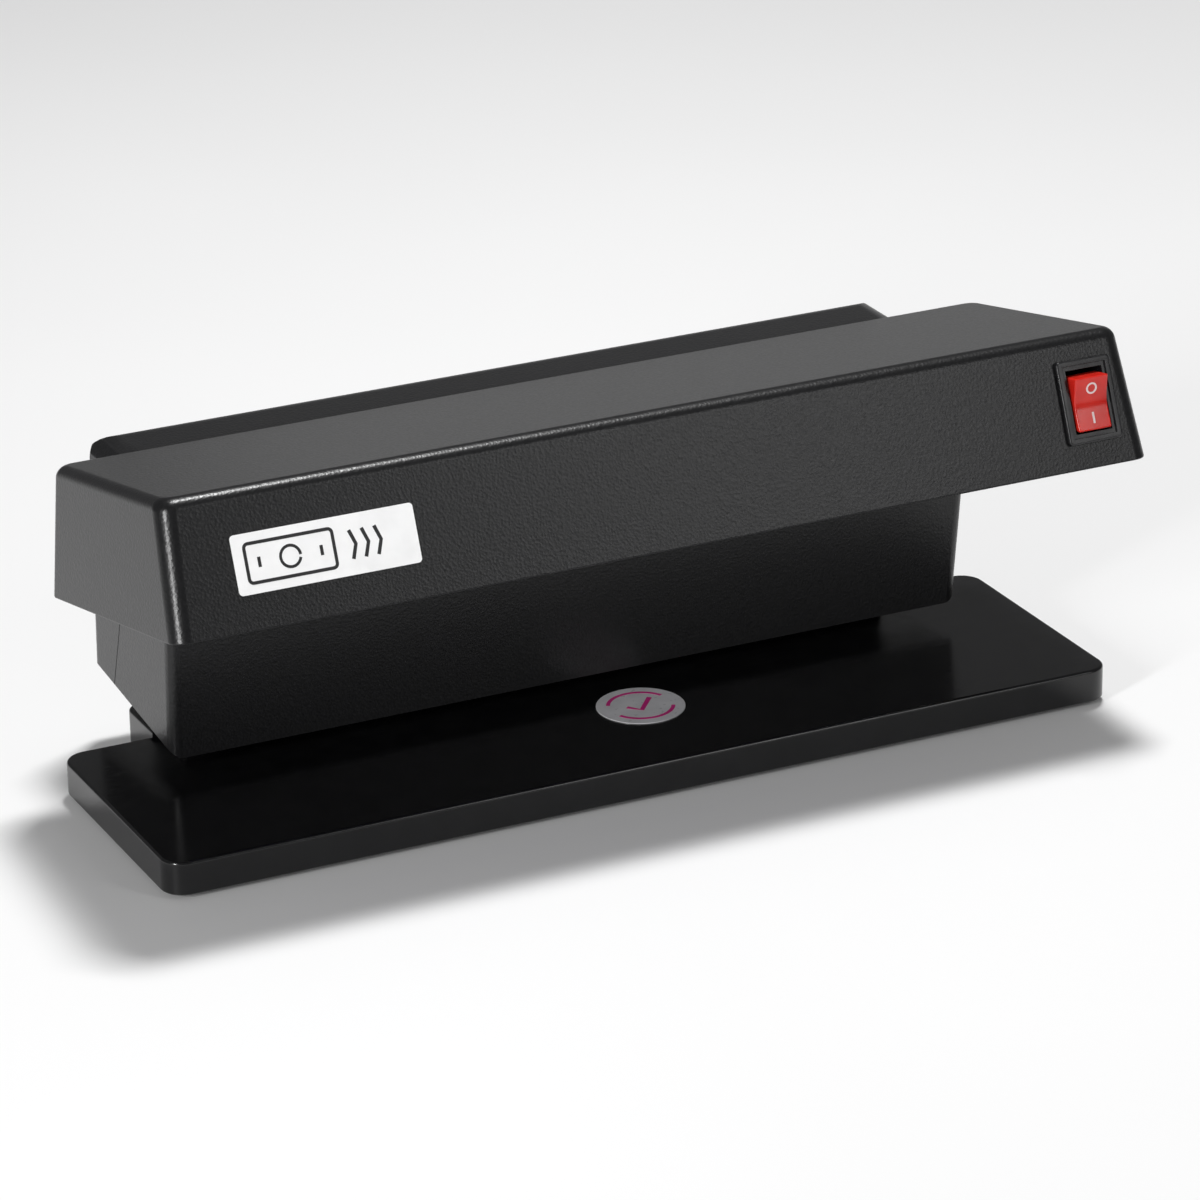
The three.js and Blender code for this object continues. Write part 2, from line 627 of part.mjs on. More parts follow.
function buildStarters() {
  STARTER.xs.forEach((x, i) => {
    const frame = wallFrame(x, STARTER.z).multiply(Z_TO_Y);
    const socket = rod(12, 0, 8, 24).subtract(ring(3.8, 9, 3, 9, 20));
    addPiece(`starter_socket_${i + 1}`, place(socket, frame), MAT.white);
    const r = STARTER.r;
    const end = 8.3 + STARTER.long;
    let starter = lathe([[0, 8.3], [r, 8.3], [r, end - 1.5], [r - 1.5, end], [0, end]], 24);
    for (const y of [-6.35, 6.35]) {
      starter = starter.add(place(rod(2, 4.4, 9, 10), at(0, y, 0)));
    }
    addPiece(`starter_${i + 1}`, place(starter, frame), MAT.white);
  });
}

function buildTerminalBlock() {
  const frame = wallFrame(BLOCK.x, BLOCK.z);
  let block = alongX([[0, -8], [8, -8], [13, -4.5], [13, 4.5], [8, 8], [0, 8]], -9.5, 9.5);
  for (const x of [-6.4, 0, 6.4]) {
    block = block.subtract(place(rod(2.1, 6, 20, 10), at(x, 0, 0, Z_TO_Y)));
  }
  addPiece('terminal_block', place(block, frame), MAT.white);
}

function buildGland() {
  const { bore, neck, flange, tip, out } = GLAND;
  const profile = [
    [bore, -8], [neck, -8], [neck, 0.1], [flange, 0.1], [flange, 1.8],
    [neck + 0.3, 2.4], [tip, out], [bore, out], [bore, -8],
  ];
  addPiece('cable_gland', place(lathe(profile, 20), GLAND_FRAME), MAT.rubber);
}

// ---- leads --------------------------------------------------------------------------------------
function inFrame(frame, x, y, z) {
  return new THREE.Vector3(x, y, z).applyMatrix4(frame);
}

function point(x, y, z) {
  return new THREE.Vector3(x, y, z);
}

// Round insulated wire along a smooth line through the points.
function wire(points, steps) {
  const section = new THREE.Shape();
  for (let i = 0; i < 8; i += 1) {
    const angle = i * Math.PI / 4;
    const [a, b] = [LEAD_R * Math.cos(angle), LEAD_R * Math.sin(angle)];
    if (i === 0) {
      section.moveTo(a, b);
    } else {
      section.lineTo(a, b);
    }
  }
  section.closePath();
  const path = new THREE.CatmullRomCurve3(points, false, 'centripetal');
  return solid(new THREE.ExtrudeGeometry(section, { extrudePath: path, steps, bevelEnabled: false }));
}

function switchEnd(along) {
  return [inFrame(SWITCH_FRAME, 0, along, -20.3), inFrame(SWITCH_FRAME, 0, along, -23.5)];
}

// From a lamp holder's top, up through the tray and along under the shade's roof.
function holderEnd(x, v) {
  const w = TRAY.w + TRAY.thick + 1.25;
  const spots = [[v, 27.3], [v, w - 1], [v + 1.2, w]];
  return spots.map(([along, up]) => inFrame(SHADE_FRAME, x, along, up));
}

function buildLeads() {
  const roofW = TRAY.w + TRAY.thick + 1.25;
  const roof = (x, v) => inFrame(SHADE_FRAME, x, v, roofW);
  const block = wallFrame(BLOCK.x, BLOCK.z);
  const ballast = ballastFrame();
  const leads = {
    lead_block_to_switch: [
      inFrame(block, 6.4, 4, 8.3), inFrame(block, 6.4, 4, 13), point(12, 45, 62), point(22, 44.5, 67),
      point(60, 43.5, 78), point(96, 42.5, 84.8), point(105, 39.5, 87.6), point(112.5, 32, 85),
      point(115.1, 22, 79), ...switchEnd(0).reverse(),
    ],
    lead_switch_to_ballast: [
      ...switchEnd(-6.5), point(117.8, 18, 72.5), point(118.4, 29, 80.5), point(112.6, 37.4, 87.2),
      point(105, 44, 85.2), point(92, 48, 81), point(72, 58, 72), point(58, 67.5, 65),
      inFrame(ballast, 10, 11.65, 12.7),
    ],
    lead_ballast_to_lamp: [
      inFrame(ballast, -10, 11.65, 12.7), point(30, 66.5, 65), point(8, 55, 69), point(-40, 46, 73),
      point(-80, 45, 78), point(-95, 44, 83.2), roof(-99, 52), roof(-100, 46), roof(-106, 38), roof(-115, 26),
      ...holderEnd(-118.6, 18).reverse(),
    ],
    lead_lamp_to_block: [
      ...holderEnd(-118.6, 38), roof(-113, 43.5), roof(-106.5, 50), point(-102.5, 47, 83.5),
      point(-88, 50.5, 77), point(-60, 50, 63), point(-22, 49.5, 58), inFrame(block, -6.4, 4, 13),
      inFrame(block, -6.4, 4, 8.3),
    ],
    lead_lamp_to_lamp: [
      ...holderEnd(102.6, 18), roof(102.6, 28), roof(102.6, 36.8), inFrame(SHADE_FRAME, 102.6, 38, roofW - 1),
      inFrame(SHADE_FRAME, 102.6, 38, 27.3),
    ],
  };
  for (const [name, points] of Object.entries(leads)) {
    const colour = name.includes('switch') ? MAT.leadBrown : MAT.leadBlue;
    addPiece(name, wire(points, name === 'lead_lamp_to_lamp' ? 16 : 34), colour);
  }
}

// ---- labels -------------------------------------------------------------------------------------
function buildLabels() {
  const { x, along, wide, high, thick } = LABEL;
  const label = extrude(roundedRect(-wide / 2, wide / 2, -high / 2, high / 2, 1, 2), 0.04, 0.04 + thick);
  addPiece('front_label', place(label, FACE_FRAME.clone().multiply(at(x, along, 0))), MAT.label);
  const disc = rod(STICKER.r, BASE.top + 0.04, BASE.top + 0.04 + STICKER.thick, 32);
  addPiece('base_sticker', place(disc, at(STICKER.x, STICKER.y, 0)), MAT.sticker);
}

buildBase();
buildBottom();
buildColumn();
buildRearCover();
buildShade();
buildTray();
buildTube(TUBE_V[0], 'front');
buildTube(TUBE_V[1], 'rear');
buildSwitch();
buildBallast();
buildStarters();
buildTerminalBlock();
buildGland();
buildLeads();
buildLabels();

export default assembly;
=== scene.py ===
import math

import bmesh
import bpy
from mathutils import Matrix, Vector


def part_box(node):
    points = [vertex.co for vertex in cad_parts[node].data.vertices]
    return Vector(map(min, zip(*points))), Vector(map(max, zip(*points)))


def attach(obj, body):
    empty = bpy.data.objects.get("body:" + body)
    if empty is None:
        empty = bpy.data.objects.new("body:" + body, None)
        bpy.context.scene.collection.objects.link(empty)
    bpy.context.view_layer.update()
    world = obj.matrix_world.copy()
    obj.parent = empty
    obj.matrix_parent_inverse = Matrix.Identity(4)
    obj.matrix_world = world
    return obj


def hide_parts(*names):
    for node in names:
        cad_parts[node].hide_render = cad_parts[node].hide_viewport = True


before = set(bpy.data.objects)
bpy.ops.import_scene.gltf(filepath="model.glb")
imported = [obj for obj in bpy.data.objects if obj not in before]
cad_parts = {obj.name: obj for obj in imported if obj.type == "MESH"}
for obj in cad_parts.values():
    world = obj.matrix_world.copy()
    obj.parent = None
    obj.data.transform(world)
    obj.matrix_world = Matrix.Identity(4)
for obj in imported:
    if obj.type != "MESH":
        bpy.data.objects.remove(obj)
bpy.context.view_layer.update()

# Shapes are worked out in millimetres: X along the object, Y to the rear, Z up from the base
# plate's underside. TO_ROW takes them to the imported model's frame, in metres.
BASE = dict(half=128.8, front=-2.15, rear=70.6, top=8.66, corner=6, wall=2.5, edge=0.8,
            hollow=6.2)
BOTTOM_PLATE = dict(gap=0.3, low=0.2, top=1.8, bevel=0.25)
TONGUE = dict(half=104.6, front=50, rear=88.8, top=10.3, corner=4)
RISER = dict(half=98, front=64, rear=86, wall=2.5)
COL = dict(half=109.25, flare=0.02, front=44.7, lean=0.108, rear=97.7, rear_lean=0.1, top=83.4,
           wall=2.2, near_corner=3.1, corner=6.2, round=8.8)
FLOOR = dict(z=13.7, y=44.7, slope=0.104, corner=5)
SEAM = dict(y_low=82.3, z_low=18, y_high=69.4, z_high=52, half_gap=0.15)
# Above the seam the front half ends before the shade's rear wall, and the cover starts behind it.
UPPER_FRONT, UPPER_REAR, CROWN_FRONT = 65.5, 68.6, 66.5
# Each rear screw: x, z, where the front half's post ends, where the screw's head rests.
REAR_SCREWS = [(-98, 27, 77.3, 84), (98, 27, 77.3, 84), (-98, 69, 65.3, 76), (98, 69, 65.3, 76)]
LOWER_SCREWS_BELOW = 50
# Radii: a screw's pilot bore, its clearance bore, the boss or post it drives into, and the rear
# cover's towers with the wells that the screws' heads go down.
PILOT_R, CLEAR_R, BOSS_R, POST_R, TOWER_R, WELL_R = 1.7, 1.8, 4, 4.2, 5.2, 3.5
COLUMN_SCREWS = [-84, -28, 28, 84]
COLUMN_SCREW_Y = 75
BASE_SCREWS = [(-116, 12), (116, 12), (-116, 58), (116, 58)]
FEET = [(-112, 28), (112, 28), (-92, 78), (92, 78)]
VENTS = dict(xs=(-40, -32, -24, -16, 16, 24, 32, 40), half=1.4, corner=1.39, low=50, high=70)
SHADE = dict(tilt=math.radians(12), y=-16.51, z=70.2, half=130, depth=86.5, high=33, front=6.3,
             rear=7.0, end=2.35, wall=2.2, corner=4.5, edge=2.8)
TRAY_SCREWS = [-86, 70]
TRAY_SCREW_V = 28
TUBES = {"front": 18, "rear": 38}
TUBE = dict(shift=-8, length=212, r=8, cap=9, pin=1.17, gap=4.75, w=14, glass_gap=0.25)
SWITCH = dict(x=115.1, along=16.9, wide=15, long=21, lip=1.5, body_w=12.6, body_l=19, deep=14,
              well_w=10.2, well_l=15.8, step_w=12, step_l=18, step=0.55, floor=2)
# Each slot for a terminal in the switch's floor: where it is, its half width, half thickness.
TERMINAL_SLOTS = [(0, 2.7, 0.7), (-6.5, 2.7, 0.7)]
ROCKER = dict(half=4.65, reach=6.7, crest=3.4, dip=1.9, soft=0.06, pivot=-1.4,
              swing=math.radians(12), axle=1.1, axle_half=5.95)
MARKS = dict(centre=3.7, inner=1.05, outer=1.5, bar_half=0.26, bar_reach=1.4, low=-0.1, high=0.06)
LABEL = dict(x=-89.2, along=15.7, wide=46, high=14.2)
STICKER = dict(x=11.5, y=31, r=11.25)
GLAND = dict(x=-72, z=30, bore=3.6, neck=5.5, flange=7.9, tip=4.9, out=4.6)
# The column is made taller than it is, and cut by its floor and its crown.
COLUMN_LOW, COLUMN_HIGH = 8, 110
# A cutter reaches this far past what it cuts, along the object.
PAST_ENDS = 140
# A stuck film starts this far above its face; a print on it sinks in a little and stands proud.
FILM = dict(low=0.04, label=0.25, sticker=0.2, sink=0.02, print=0.05)
# Two faces that would lie in one plane are held this far apart, so that a cut stays clean.
NUDGE = 0.02

BASE_LOW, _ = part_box("base_plate")
SHIFT_Y = BASE_LOW.y * 1000 - BASE["front"]
SHIFT_Z = BASE_LOW.z * 1000
TO_ROW = Matrix.Scale(0.001, 4) @ Matrix.Translation((0, SHIFT_Y, SHIFT_Z))

SHADE_TURN = Matrix.Rotation(-SHADE["tilt"], 4, "X")
SHADE_FRAME = Matrix.Translation((0, SHADE["y"], SHADE["z"])) @ SHADE_TURN
FACE_LEAN = math.atan2(SHADE["front"], SHADE["high"])
FACE_FRAME = SHADE_FRAME @ Matrix.Rotation(math.pi / 2 - FACE_LEAN, 4, "X")
SWITCH_FRAME = FACE_FRAME @ Matrix.Translation((SWITCH["x"], SWITCH["along"], 0))
Z_TO_Y = Matrix.Rotation(-math.pi / 2, 4, "X")
Z_TO_X = Matrix.Rotation(math.pi / 2, 4, "Y")
GLAND_TURN = Matrix.Rotation(math.atan(COL["rear_lean"]), 4, "X") @ Z_TO_Y
GLAND_FRAME = Matrix.Translation((GLAND["x"], COL["rear"], GLAND["z"])) @ GLAND_TURN


# ---- mesh helpers --------------------------------------------------------------------------------
def link(mesh, name):
    obj = bpy.data.objects.new(name, mesh)
    bpy.context.scene.collection.objects.link(obj)
    return obj


def from_bmesh(bm, name):
    bmesh.ops.recalc_face_normals(bm, faces=bm.faces)
    mesh = bpy.data.meshes.new(name)
    bm.to_mesh(mesh)
    bm.free()
    return link(mesh, name)


def loft(name, rings, closed=False):
    """Skins equal rings of 3D points; the ends are capped, or joined to each other when closed."""
    bm = bmesh.new()
    rows = [[bm.verts.new(p) for p in ring] for ring in rings]
    count = len(rows[0])
    pairs = list(zip(rows, rows[1:]))
    if closed:
        pairs.append((rows[-1], rows[0]))
    for low, high in pairs:
        for i in range(count):
            j = (i + 1) % count
            bm.faces.new((low[i], low[j], high[j], high[i]))
    if not closed:
        bm.faces.new(list(reversed(rows[0])))
        bm.faces.new(rows[-1])
    return from_bmesh(bm, name)


def rounded_rect(x0, x1, y0, y1, r, steps=10, far=None):
    """A rectangle with rounded corners; the two at y1 may have a radius of their own."""
    far = r if far is None else far
    points = []
    corners = ((x1 - r, y0 + r, -90, r), (x1 - far, y1 - far, 0, far),
               (x0 + far, y1 - far, 90, far), (x0 + r, y0 + r, 180, r))
    for cx, cy, start, radius in corners:
        for i in range(steps + 1):
            angle = math.radians(start + 90 * i / steps)
            points.append((cx + radius * math.cos(angle), cy + radius * math.sin(angle)))
    return points


def prism(name, outline, low, high, matrix=None):
    obj = loft(name, [[(x, y, low) for x, y in outline], [(x, y, high) for x, y in outline]])
    if matrix is not None:
        obj.data.transform(matrix)
    return obj


def along_x(name, outline, low, high, matrix=None):
    """A (y, z) outline stretched along X."""
    turn = Matrix(((0, 0, 1, 0), (1, 0, 0, 0), (0, 1, 0, 0), (0, 0, 0, 1)))
    return prism(name, outline, low, high, (matrix @ turn) if matrix is not None else turn)


def box(name, x0, x1, y0, y1, z0, z1, matrix=None):
    return prism(name, [(x0, y0), (x1, y0), (x1, y1), (x0, y1)], z0, z1, matrix)


def lathe(name, profile, sides=48, matrix=None):
    """Turns (radius, height) points about Z; a zero radius at both ends closes on the axis."""
    bm = bmesh.new()
    rows = []
    for r, h in profile:
        if r < 1e-6:
            rows.append([bm.verts.new((0, 0, h))])
        else:
            turns = [2 * math.pi * i / sides for i in range(sides)]
            rows.append([bm.verts.new((r * math.cos(a), r * math.sin(a), h)) for a in turns])
    pairs = list(zip(rows, rows[1:]))
    if profile[0][0] > 1e-6:
        pairs.append((rows[-1], rows[0]))
    for low, high in pairs:
        for i in range(sides):
            j = (i + 1) % sides
            corners = (low[i % len(low)], low[j % len(low)],
                       high[j % len(high)], high[i % len(high)])
            unique = list(dict.fromkeys(corners))
            if len(unique) > 2:
                bm.faces.new(unique)
    obj = from_bmesh(bm, name)
    if matrix is not None:
        obj.data.transform(matrix)
    return obj


def rod(name, r, low, high, sides=32, matrix=None):
    return lathe(name, [(0, low), (r, low), (r, high), (0, high)], sides, matrix)


def arc(cx, cy, r, start, end, steps):
    """Points on an arc between two angles in degrees."""
    angles = [math.radians(start + (end - start) * i / steps) for i in range(steps + 1)]
    return [(cx + r * math.cos(a), cy + r * math.sin(a)) for a in angles]


def shift(x, y, z):
    return Matrix.Translation((x, y, z))


def bake(obj):
    """Turns the object's modifiers into mesh."""
    depsgraph = bpy.context.evaluated_depsgraph_get()
    mesh = bpy.data.meshes.new_from_object(obj.evaluated_get(depsgraph))
    obj.modifiers.clear()
    obj.data = mesh


def combine(obj, operation, *others):
    """Combines the object with each of the others in turn, and removes them."""
    for other in others:
        modifier = obj.modifiers.new("combine", "BOOLEAN")
        modifier.operation = operation
        modifier.solver = "EXACT"
        modifier.object = other
        bake(obj)
        bpy.data.objects.remove(other)
    return obj


def cut(obj, *others):
    return combine(obj, "DIFFERENCE", *others)


def join(obj, *others):
    return combine(obj, "UNION", *others)


def keep(obj, *others):
    return combine(obj, "INTERSECT", *others)


def soften(obj, width, segments=2, angle=35):
    """Rounds the edges sharper than the angle, width in millimetres."""
    modifier = obj.modifiers.new("edges", "BEVEL")
    modifier.width = width
    modifier.segments = segments
    modifier.limit_method = "ANGLE"
    modifier.angle_limit = math.radians(angle)
    modifier.use_clamp_overlap = True
    bake(obj)
    return obj


def finish_mesh(obj, body, mat, nodes=(), sharp=32):
    """Takes a millimetre mesh to the row frame, shades it and hands it to its body."""
    obj.data.transform(TO_ROW)
    bm = bmesh.new()
    bm.from_mesh(obj.data)
    bmesh.ops.remove_doubles(bm, verts=bm.verts, dist=1e-6)
    bmesh.ops.recalc_face_normals(bm, faces=bm.faces)
    bm.to_mesh(obj.data)
    bm.free()
    obj.data.shade_smooth()
    obj.data.set_sharp_from_angle(angle=math.radians(sharp))
    weighted = obj.modifiers.new("normals", "WEIGHTED_NORMAL")
    weighted.keep_sharp = True
    obj.data.materials.clear()
    obj.data.materials.append(mat)
    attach(obj, body)
    if nodes:
        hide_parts(*nodes)
    return obj


# ---- materials -----------------------------------------------------------------------------------
class Paint:
    """A Principled material with a few procedural layers."""

    def __init__(self, name, roughness, metallic=0.0, ior=1.5, coat=0.0):
        self.mat = bpy.data.materials.new(name)
        self.mat.use_nodes = True
        self.tree = self.mat.node_tree
        self.shader = self.tree.nodes["Principled BSDF"]
        self.shader.inputs["Roughness"].default_value = roughness
        self.shader.inputs["Metallic"].default_value = metallic
        self.shader.inputs["IOR"].default_value = ior
        self.shader.inputs["Coat Weight"].default_value = coat
        self.coords = self.tree.nodes.new("ShaderNodeTexCoord").outputs["Object"]
        self.normal = None

    def node(self, kind, **inputs):
        """A new node; inputs are named with underscores for spaces."""
        made = self.tree.nodes.new(kind)
        for key, value in inputs.items():
            made.inputs[key.replace("_", " ")].default_value = value
        return made

    def wire(self, source, target):
        self.tree.links.new(source, target)

    def scaled(self, scale):
        mapping = self.node("ShaderNodeMapping", Scale=scale)
        self.wire(self.coords, mapping.inputs["Vector"])
        return mapping.outputs["Vector"]

    def noise(self, scale, detail, stretch=None):
        made = self.node("ShaderNodeTexNoise", Scale=scale, Detail=detail)
        self.wire(self.scaled(stretch) if stretch else self.coords, made.inputs["Vector"])
        return made.outputs["Fac"]

    def cells(self, scale):
        made = self.node("ShaderNodeTexVoronoi", Scale=scale)
        self.wire(self.coords, made.inputs["Vector"])
        return made.outputs["Distance"]

    def colour(self, source, low, high):
        """The base colour goes from low to high over the middle of the pattern."""
        made = self.node("ShaderNodeValToRGB")
        for stop, place, colour in zip(made.color_ramp.elements, (0.35, 0.65), (low, high)):
            stop.position = place
            stop.color = (*colour, 1)
        self.wire(source, made.inputs["Fac"])
        self.wire(made.outputs["Color"], self.shader.inputs["Base Color"])

    def rough(self, source, low, high):
        made = self.node("ShaderNodeMapRange", From_Min=0.3, From_Max=0.7, To_Min=low, To_Max=high)
        self.wire(source, made.inputs["Value"])
        self.wire(made.outputs["Result"], self.shader.inputs["Roughness"])

    def bump(self, source, height, strength):
        """Adds relief over any that is there; height is in millimetres."""
        made = self.node("ShaderNodeBump", Distance=height / 1000, Strength=strength)
        self.wire(source, made.inputs["Height"])
        if self.normal is not None:
            self.wire(self.normal, made.inputs["Normal"])
        self.normal = made.outputs["Normal"]
        self.wire(self.normal, self.shader.inputs["Normal"])


def shell_plastic():
    p = Paint("grained_shell", roughness=0.33, ior=1.43)
    p.colour(p.noise(1100, 3), (0.0055, 0.0055, 0.006), (0.0085, 0.0085, 0.0092))
    p.rough(p.noise(1300, 3), 0.28, 0.33)
    p.bump(p.cells(1400), 0.08, 0.36)
    p.bump(p.noise(1500, 2), 0.06, 0.4)
    return p.mat


def base_plastic():
    p = Paint("base_gloss", roughness=0.2)
    p.colour(p.noise(160, 4), (0.004, 0.004, 0.0045), (0.0068, 0.0068, 0.0074))
    p.rough(p.noise(220, 5, stretch=(1, 6, 6)), 0.13, 0.23)
    p.bump(p.noise(12, 2), 0.04, 0.3)
    p.bump(p.noise(1800, 3), 0.012, 0.35)
    return p.mat


def rubber():
    p = Paint("foot_rubber", roughness=0.85)
    p.colour(p.noise(200, 4), (0.012, 0.012, 0.012), (0.028, 0.027, 0.026))
    p.bump(p.noise(1500, 4), 0.05, 0.6)
    return p.mat


def metal(name, low, high, rough, stretch=(1, 1, 1)):
    """Metal whose brushing is squeezed along the axes with a large stretch."""
    p = Paint(name, metallic=1.0, roughness=rough)
    p.colour(p.noise(40, 4), low, high)
    p.rough(p.noise(300, 4, stretch=stretch), rough - 0.08, rough + 0.1)
    p.bump(p.noise(900, 3, stretch=stretch), 0.01, 0.4)
    return p.mat


def plastic(name, low, high, rough):
    p = Paint(name, roughness=rough)
    p.colour(p.noise(60, 4), low, high)
    p.rough(p.noise(240, 4), rough - 0.05, rough + 0.06)
    p.bump(p.noise(1600, 3), 0.01, 0.4)
    return p.mat


def rocker_plastic():
    p = Paint("rocker_red", roughness=0.2, ior=1.49)
    p.colour(p.noise(120, 3), (0.54, 0.012, 0.008), (0.68, 0.026, 0.016))
    p.rough(p.noise(600, 4), 0.14, 0.24)
    p.bump(p.noise(900, 3), 0.01, 0.4)
    p.shader.inputs["Subsurface Weight"].default_value = 0.25
    p.shader.inputs["Subsurface Radius"].default_value = (0.004, 0.0006, 0.0004)
    p.shader.inputs["Subsurface Scale"].default_value = 1.0
    return p.mat


def violet_glass():
    p = Paint("uv_glass", roughness=0.06, ior=1.52, coat=0.5)
    p.colour(p.noise(25, 3, stretch=(0.3, 1, 1)), (0.012, 0.006, 0.05), (0.03, 0.012, 0.1))
    p.rough(p.noise(300, 4), 0.04, 0.1)
    return p.mat


def film(name, low, high, rough, metallic=0.0):
    p = Paint(name, roughness=rough, metallic=metallic)
    p.colour(p.noise(180, 4), low, high)
    p.rough(p.noise(500, 4), rough - 0.06, rough + 0.06)
    p.bump(p.noise(90, 2), 0.03, 0.3)
    return p.mat


MAT = {
    "shell": shell_plastic(),
    "base": base_plastic(),
    "rubber": rubber(),
    "zinc": metal("zinc_steel", (0.5, 0.5, 0.47), (0.66, 0.65, 0.6), 0.32),
    "core": metal("core_steel", (0.1, 0.1, 0.11), (0.2, 0.2, 0.21), 0.45, stretch=(1, 12, 1)),
    "copper": plastic("winding_copper", (0.28, 0.1, 0.03), (0.42, 0.16, 0.05), 0.35),
    "aluminium": metal("tray_aluminium", (0.74, 0.75, 0.77), (0.86, 0.87, 0.88), 0.2,
                       stretch=(0.1, 4, 4)),
    "cap": metal("cap_aluminium", (0.62, 0.63, 0.65), (0.76, 0.77, 0.79), 0.28,
                 stretch=(8, 1, 1)),
    "white": plastic("white_plastic", (0.72, 0.7, 0.64), (0.8, 0.78, 0.72), 0.4),
    "lead_brown": plastic("lead_brown", (0.09, 0.028, 0.008), (0.13, 0.042, 0.012), 0.38),
    "lead_blue": plastic("lead_blue", (0.01, 0.06, 0.28), (0.015, 0.085, 0.36), 0.38),
    "brass": metal("contact_brass", (0.62, 0.44, 0.17), (0.78, 0.6, 0.28), 0.25),
    "switch": plastic("switch_black", (0.006, 0.006, 0.007), (0.011, 0.011, 0.012), 0.3),
    "rocker": rocker_plastic(),
    "glass": violet_glass(),
    "mark": plastic("mark_white", (0.82, 0.64, 0.64), (0.88, 0.71, 0.7), 0.4),
    "label": film("label_white", (0.91, 0.91, 0.91), (0.96, 0.96, 0.96), 0.4),
    "ink": film("label_ink", (0.008, 0.008, 0.009), (0.014, 0.014, 0.015), 0.4),
    "sticker": film("sticker_silver", (0.74, 0.74, 0.76), (0.84, 0.84, 0.86), 0.32,
                    metallic=0.1),
    "magenta": film("sticker_ink", (0.66, 0.02, 0.24), (0.76, 0.035, 0.3), 0.45),
}


# ---- base ----------------------------------------------------------------------------------------
def column_floor_z(y):
    """The height of the column's sloping underside."""
    return FLOOR["z"] + FLOOR["slope"] * (y - FLOOR["y"])


def slab(name, half, y0, y1, corner, top, edge):
    """A plate with rounded corners, a rounded top edge and a slightly eased lower edge."""
    x0, x1, foot = -half, half, 0.3
    eased = rounded_rect(x0 + foot, x1 - foot, y0 + foot, y1 - foot, corner - foot)
    rings = [[(x, y, 0) for x, y in eased],
             [(x, y, foot) for x, y in rounded_rect(x0, x1, y0, y1, corner)]]
    steps = 6
    for i in range(steps + 1):
        angle = math.pi / 2 * i / steps
        inset = edge * (1 - math.cos(angle))
        outline = rounded_rect(x0 + inset, x1 - inset, y0 + inset, y1 - inset, corner - inset)
        rings.append([(x, y, top - edge + edge * math.sin(angle)) for x, y in outline])
    return loft(name, rings)


def bottom_outline(inset):
    """The hollow under the base plate and its tongue, drawn in by the inset."""
    x = BASE["half"] - BASE["wall"] - inset
    xt = TONGUE["half"] - BASE["wall"] - inset
    y0 = BASE["front"] + BASE["wall"] + inset
    y1 = BASE["rear"] - BASE["wall"] - inset
    y2 = TONGUE["rear"] - BASE["wall"] - inset
    return [(-x, y0), (x, y0), (x, y1), (xt, y1), (xt, y2), (-xt, y2), (-xt, y1), (-x, y1)]


def riser(name, inset, low, drop):
    """The block that carries the column, or its hollow; it ends below the column's floor."""
    y0, y1 = RISER["front"] + inset, RISER["rear"] - inset
    top0, top1 = column_floor_z(y0) - drop, column_floor_z(y1) - drop
    outline = [(y0, low), (y1, low), (y1, top1), (y0, top0)]
    half = RISER["half"] - inset
    return along_x(name, outline, -half, half)


def build_base():
    b, t = BASE, TONGUE
    base = slab("base_plate_shell", b["half"], b["front"], b["rear"], b["corner"], b["top"],
                b["edge"])
    tongue = slab("tongue", t["half"], t["front"], t["rear"], t["corner"], t["top"], b["edge"])
    cut(tongue, box("clear", -200, 200, 0, b["rear"] - 0.9, b["top"] - 3, 20))
    join(base, tongue, riser("riser", 0, 5, 0.3))
    cut(base, prism("cavity", bottom_outline(0), -1, b["hollow"]),
        riser("hollow", RISER["wall"], 2, 3.3))
    for x, y in BASE_SCREWS:
        join(base, rod("boss", BOSS_R, 2.1, b["hollow"] + 0.5, 24, shift(x, y, 0)))
        cut(base, rod("bore", PILOT_R, 1.9, 6, 20, shift(x, y, 0)))
    for x in COLUMN_SCREWS:
        cut(base, rod("bore", CLEAR_R, 8, 30, 20, shift(x, COLUMN_SCREW_Y, 0)))
    finish_mesh(base, "housing", MAT["base"], ["base_plate"])

    p = BOTTOM_PLATE
    plate = prism("bottom_plate_panel", bottom_outline(p["gap"]), p["low"], p["top"])
    cone = [(0, -1), (3.3, -1), (3.3, 0.45), (1.85, 1.9), (1.85, 3), (0, 3)]
    for x, y in BASE_SCREWS:
        cut(plate, lathe("sink", cone, 32, shift(x, y, 0)))
    soften(plate, p["bevel"])
    finish_mesh(plate, "housing", MAT["base"], ["bottom_plate"])
    profile = [(0, -1.5), (4.6, -1.5), (5.1, -1.42)] + arc(5.1, -0.7, 0.8, -60, 0, 4)
    profile += [(6.2, -0.1), (6.2, 0.15), (0, 0.15)]
    for i, (x, y) in enumerate(FEET):
        foot = lathe(f"rubber_foot_{i + 1}", profile, 48, shift(x, y, 0))
        finish_mesh(foot, "housing", MAT["rubber"], [f"foot_{i + 1}"])


# ---- column --------------------------------------------------------------------------------------
def column_front(z):
    """The y of the column's leaning front wall at a height."""
    return COL["front"] - COL["lean"] * (z - BASE["top"])


def shade_roof(y):
    """The height just under the inside of the shade's sloping roof."""
    tilt = SHADE["tilt"]
    top = SHADE["z"] + SHADE["high"] / math.cos(tilt) - math.tan(tilt) * (y - SHADE["y"])
    return top - SHADE["wall"] - 0.1


def column_rear(z):
    """The y of the rear cover's leaning wall at a height."""
    return COL["rear"] - COL["rear_lean"] * (z - GLAND["z"])


